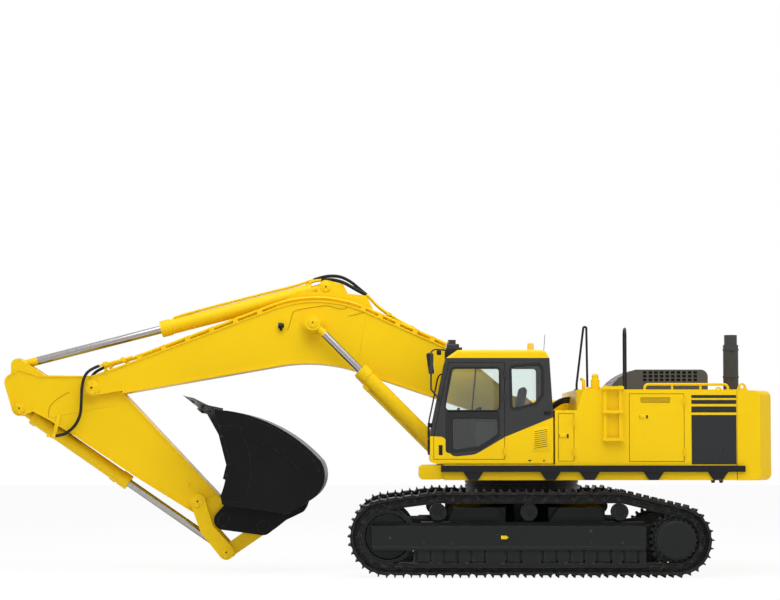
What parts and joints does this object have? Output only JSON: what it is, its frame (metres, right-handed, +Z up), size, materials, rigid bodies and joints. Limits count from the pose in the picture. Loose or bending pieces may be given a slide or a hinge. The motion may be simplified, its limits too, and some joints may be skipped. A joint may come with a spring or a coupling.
{
  "type": "crawler excavator",
  "caption": "Large crawler excavator with boom, arm, bucket and closed cab, its arm drawn in and its bucket curled.",
  "frame": {"origin": "on the ground, on the line the upper structure turns about", "axes": "+X forward, over the idlers; +Y to the machine's left, the cab's side; +Z up"},
  "size_m": [11.7589, 3.9, 4.4908],
  "materials": {
    "yellow_paint": "satin",
    "dark_paint": "satin",
    "black_paint": "satin",
    "track_steel": "rough",
    "bare_steel": "satin",
    "rod_chrome": "polished",
    "yellow_iron": "satin",
    "engine_iron": "rough",
    "glass": "polished",
    "seat_cloth": "rough",
    "lamp_plastic": "polished",
    "console_plastic": "satin"
  },
  "bodies": {
    "undercarriage": {"car_body": "dark_paint", "swing_bearing": "bare_steel", "track_left": "track_steel", "track_frame_left": "dark_paint", "track_wheels_left": "dark_paint", "track_right": "track_steel", "track_frame_right": "dark_paint", "track_wheels_right": "dark_paint"},
    "upper": {"revolving_frame": "yellow_paint", "side_decks": "yellow_paint", "step_rail": "black_paint", "front_step": "yellow_paint", "counterweight": "yellow_iron", "engine_house": "yellow_paint", "exhaust_stack": "dark_paint", "side_bay": "yellow_paint", "engine": "engine_iron", "fuel_tank": "yellow_paint", "tool_box": "yellow_paint", "cab_lower": "yellow_paint", "cab_upper": "dark_paint", "cab_glass": "glass", "cab_roof": "yellow_paint", "seat": "seat_cloth", "consoles": "console_plastic", "cab_fittings": "black_paint", "beacon": "lamp_plastic", "deck_fittings": "yellow_paint", "hand_rails": "black_paint"},
    "boom": {"boom": "yellow_paint", "boom_pipes": "yellow_paint"},
    "arm": {"arm": "yellow_paint"},
    "bucket": {"bucket": "black_paint"},
    "guides": {"guide_links": "yellow_paint"},
    "link": {"bucket_link": "yellow_paint"},
    "arm_barrel": {"arm_ram_barrel": "yellow_paint"},
    "arm_rod": {"arm_ram_rod": "rod_chrome"},
    "bucket_barrel": {"bucket_ram_barrel": "yellow_paint"},
    "bucket_rod": {"bucket_ram_rod": "rod_chrome"},
    "boom_barrel_left": {"boom_ram_barrel_left": "yellow_paint"},
    "boom_rod_left": {"boom_ram_rod_left": "rod_chrome"},
    "boom_barrel_right": {"boom_ram_barrel_right": "yellow_paint"},
    "boom_rod_right": {"boom_ram_rod_right": "rod_chrome"},
    "cab_door": {"cab_door": "dark_paint", "door_skirt": "yellow_paint", "door_glass": "glass"},
    "bay_door": {"bay_door": "yellow_paint"},
    "service_door_left": {"service_door_left": "yellow_paint"},
    "service_door_right": {"service_door_right": "yellow_paint"},
    "hood": {"engine_hood": "dark_paint"}
  },
  "joints": [
    {"name": "swing", "type": "hinge", "parent": "undercarriage", "child": "upper", "pos_m": [0, 0, 0], "axis": [0, 0, 1], "continuous": true},
    {"name": "boom_lift", "type": "hinge", "parent": "upper", "child": "boom", "pos_m": [0.125, 0, 2.45], "axis": [0, -1, 0], "range_deg": [-40, 43]},
    {"name": "arm_swing", "type": "hinge", "parent": "boom", "child": "arm", "pos_m": [6.61686, 0, 2.81295], "axis": [0, 1, 0], "range_deg": [-105, 0]},
    {"name": "bucket_curl", "type": "hinge", "parent": "arm", "child": "bucket", "pos_m": [4.58109, 0, 0.78428], "axis": [0, 1, 0], "range_deg": [-150, 0]},
    {"name": "boom_ram_tilt_left", "type": "hinge", "parent": "upper", "child": "boom_barrel_left", "pos_m": [1.099, 0.497, 1.697], "axis": [0, -1, 0], "range_deg": [-42.02, 45.13]},
    {"name": "boom_ram_stroke_left", "type": "slide", "parent": "boom_barrel_left", "child": "boom_rod_left", "axis": [0.708, 0, 0.7062], "range_m": [-0.7887, 0.84755]},
    {"name": "boom_ram_tilt_right", "type": "hinge", "parent": "upper", "child": "boom_barrel_right", "pos_m": [1.099, -0.497, 1.697], "axis": [0, -1, 0], "range_deg": [-42.02, 45.13]},
    {"name": "boom_ram_stroke_right", "type": "slide", "parent": "boom_barrel_right", "child": "boom_rod_right", "axis": [0.708, 0, 0.7062], "range_m": [-0.7887, 0.84755]},
    {"name": "arm_ram_tilt", "type": "hinge", "parent": "boom", "child": "arm_barrel", "pos_m": [3.02574, 0, 4.38093], "axis": [0, 1, 0], "range_deg": [-4.33, 0.3]},
    {"name": "arm_ram_stroke", "type": "slide", "parent": "arm_barrel", "child": "arm_rod", "axis": [0.9687, 0, -0.2482], "range_m": [-1.90724, 0.004]},
    {"name": "guide_turn", "type": "hinge", "parent": "arm", "child": "guides", "pos_m": [4.97828, 0, 1.07279], "axis": [0, 1, 0], "range_deg": [-99.59, 0.5]},
    {"name": "link_turn", "type": "hinge", "parent": "bucket", "child": "link", "pos_m": [3.97238, 0, 0.6835], "axis": [0, 1, 0], "range_deg": [-0.5, 99.67]},
    {"name": "bucket_ram_tilt", "type": "hinge", "parent": "arm", "child": "bucket_barrel", "pos_m": [7.73779, 0, 2.49987], "axis": [0, 1, 0], "range_deg": [-7.91, 0.3]},
    {"name": "bucket_ram_stroke", "type": "slide", "parent": "bucket_barrel", "child": "bucket_rod", "axis": [-0.8236, 0, -0.5671], "range_m": [-1.29796, 0.004]},
    {"name": "cab_door_hinge", "type": "hinge", "parent": "upper", "child": "cab_door", "pos_m": [0.334, 1.606, 2.4], "axis": [0, 0, 1], "range_deg": [0, 170]},
    {"name": "bay_door_hinge", "type": "hinge", "parent": "upper", "child": "bay_door", "pos_m": [-0.692, 1.606, 2.05], "axis": [0, 0, 1], "range_deg": [0, 110]},
    {"name": "service_door_hinge_left", "type": "hinge", "parent": "upper", "child": "service_door_left", "pos_m": [-2.324, 1.606, 2.2], "axis": [0, 0, 1], "range_deg": [0, 110]},
    {"name": "service_door_hinge_right", "type": "hinge", "parent": "upper", "child": "service_door_right", "pos_m": [-2.324, -1.606, 2.2], "axis": [0, 0, -1], "range_deg": [0, 110]},
    {"name": "hood_hinge", "type": "hinge", "parent": "upper", "child": "hood", "pos_m": [-1.259, 0, 2.774], "axis": [0, 1, 0], "range_deg": [0, 60]}
  ],
  "couplings": [
    {"joint": "boom_ram_tilt_left", "follows": "boom_lift", "ratio": 1.038},
    {"joint": "boom_ram_stroke_left", "follows": "boom_lift", "m_per_rad": 1.124},
    {"joint": "boom_ram_tilt_right", "follows": "boom_lift", "ratio": 1.038},
    {"joint": "boom_ram_stroke_right", "follows": "boom_lift", "m_per_rad": 1.124},
    {"joint": "arm_ram_tilt", "follows": "arm_swing", "ratio": 0.038366},
    {"joint": "arm_ram_stroke", "follows": "arm_swing", "m_per_rad": 1.0385},
    {"joint": "guide_turn", "follows": "bucket_curl", "ratio": 0.66062},
    {"joint": "link_turn", "follows": "bucket_curl", "ratio": -0.66115},
    {"joint": "bucket_ram_tilt", "follows": "bucket_curl", "ratio": 0.050757},
    {"joint": "bucket_ram_stroke", "follows": "bucket_curl", "m_per_rad": 0.49426}
  ]
}
